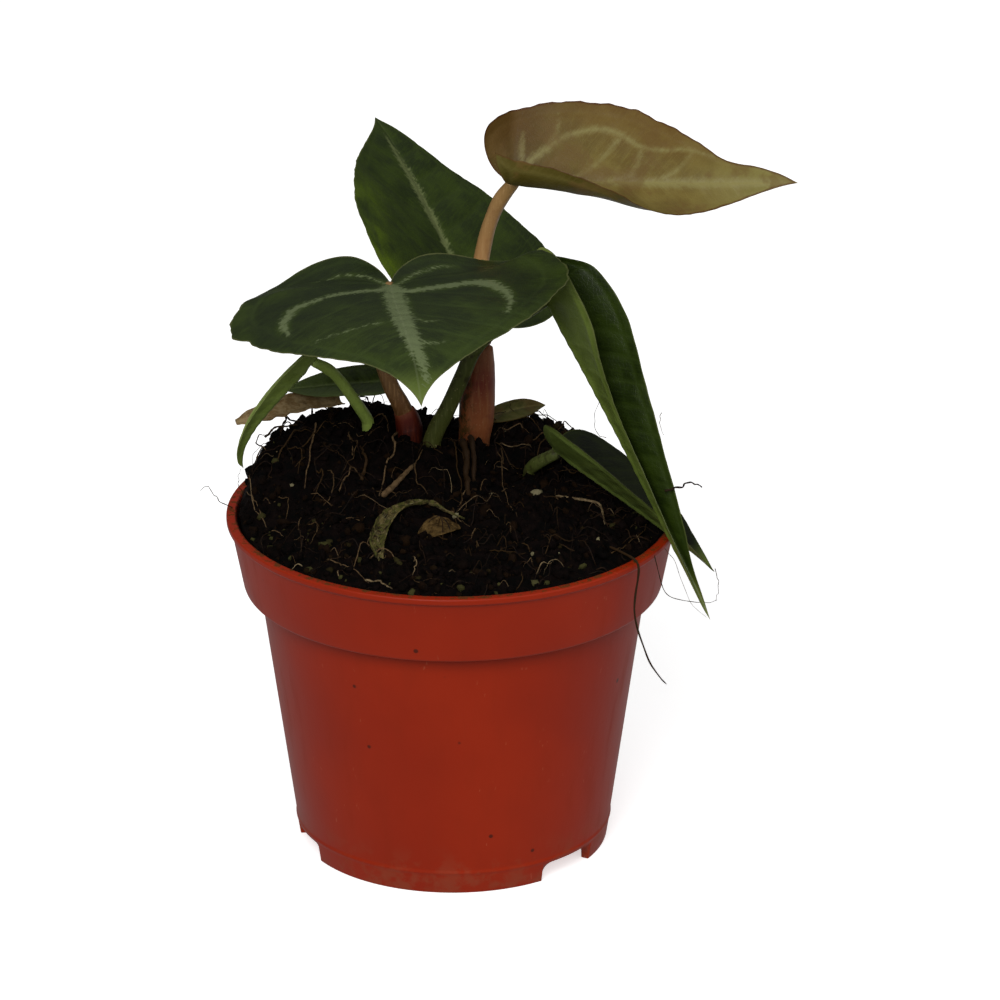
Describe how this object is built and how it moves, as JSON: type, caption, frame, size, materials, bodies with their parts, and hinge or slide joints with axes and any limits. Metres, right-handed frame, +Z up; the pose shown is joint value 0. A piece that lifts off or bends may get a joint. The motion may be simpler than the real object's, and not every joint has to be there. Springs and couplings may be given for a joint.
{
  "type": "potted anthurium",
  "caption": "Potted tropical plant: velvety heart-shaped leaves with pale veins on bent stalks, a folded bronze new leaf, dark peaty soil and a terracotta plastic nursery pot.",
  "frame": {"origin": "the middle of the underside of the part's box, on the plane the pot stands on; the pot's own axis is 15.4 mm to -X and 9.3 mm to -Y of it", "axes": "+Z up along the pot's axis; +Y away from the side seen in the picture, +X to the right of it"},
  "size_m": [0.1508, 0.1472, 0.1976],
  "materials": {
    "terracotta_plastic": "satin, scuffed",
    "dark_soil": "crumbly, damp",
    "red_sheath": "satin",
    "dark_leaf": "velvety",
    "bronze_leaf": "satin",
    "green_leaf": "satin",
    "orange_stalk": "satin",
    "green_stalk": "satin, speckled",
    "dead_leaf": "dry",
    "mossy_leaf": "dry, moss-grown",
    "root": "dry",
    "twig": "rough"
  },
  "bodies": {
    "root": {"pot": "terracotta_plastic", "soil": "dark_soil", "main_stem": "red_sheath", "left_crown": "red_sheath", "front_blade": "dark_leaf", "front_stalk": "orange_stalk", "back_blade": "dark_leaf", "back_stalk": "green_stalk", "newest_blade": "bronze_leaf", "newest_stalk": "orange_stalk", "right_blade": "green_leaf", "right_stalk": "green_stalk", "low_right_blade": "green_leaf", "low_right_stalk": "green_stalk", "left_blade": "green_leaf", "left_stalk": "green_stalk", "low_left_blade": "green_leaf", "low_left_stalk": "green_stalk", "old_blade": "green_leaf", "withered_leaf": "dead_leaf", "curled_dead_leaf": "mossy_leaf", "dead_leaf_scrap": "dead_leaf", "twig": "twig", "bent_root": "root", "rim_root": "root"}
  },
  "joints": []
}
